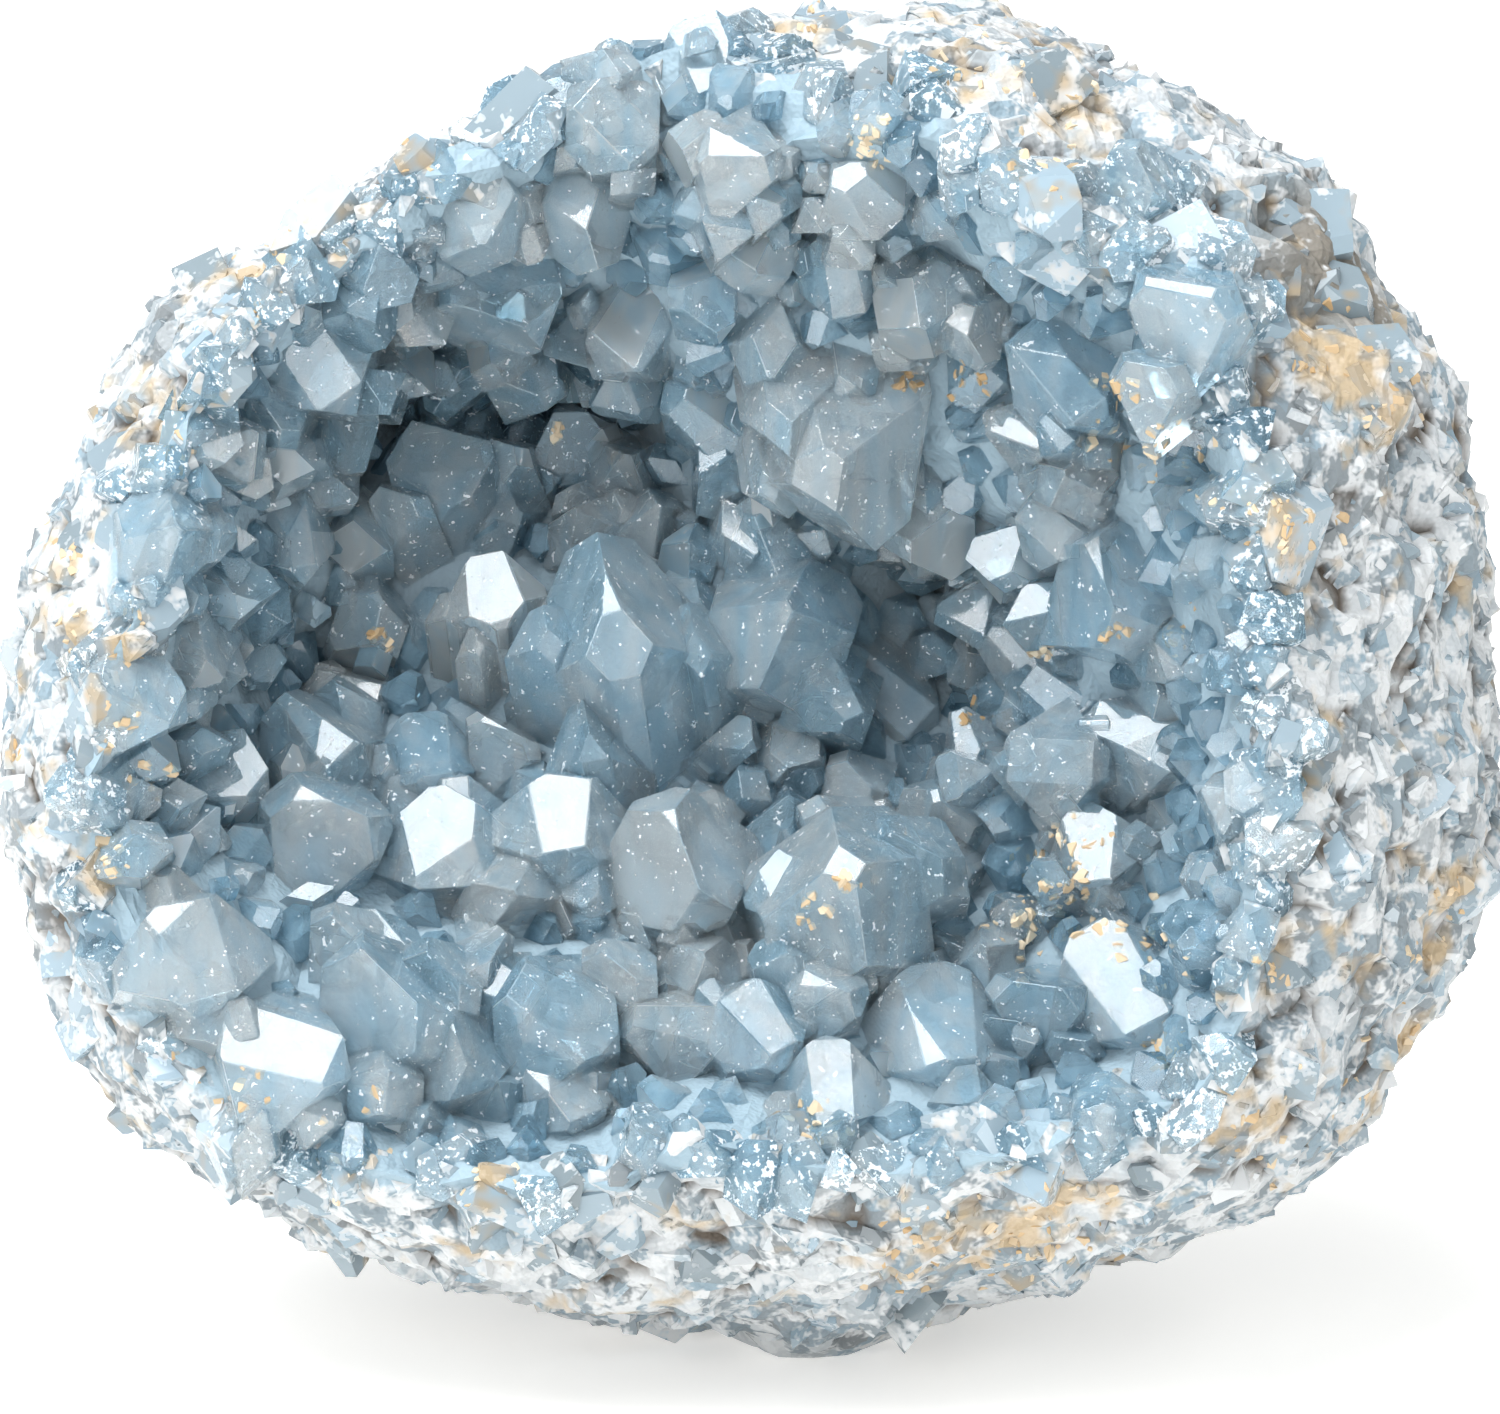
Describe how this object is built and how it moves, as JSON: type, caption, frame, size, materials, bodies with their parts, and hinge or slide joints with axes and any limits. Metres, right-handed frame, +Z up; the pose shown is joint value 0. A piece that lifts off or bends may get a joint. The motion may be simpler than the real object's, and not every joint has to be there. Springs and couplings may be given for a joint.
{
  "type": "celestite geode",
  "caption": "Rounded stone geode broken open at the front, its deep hollow lined with a crust of blocky pale blue celestite crystals; rests on a small flat spot",
  "frame": {"origin": "middle of the bounding box seen from above, on the resting plane", "axes": "+X to the right of someone who looks into the hollow, +Y to the back, +Z up"},
  "size_m": [0.1618, 0.103, 0.1458],
  "materials": {
    "weathered_stone": "rough, powdery white with grey and ochre grains",
    "blue_celestite": "clear to milky pale blue, glossy flat faces"
  },
  "bodies": {
    "root": {"rock_shell": "weathered_stone", "crystal_crust": "blue_celestite"}
  },
  "joints": []
}
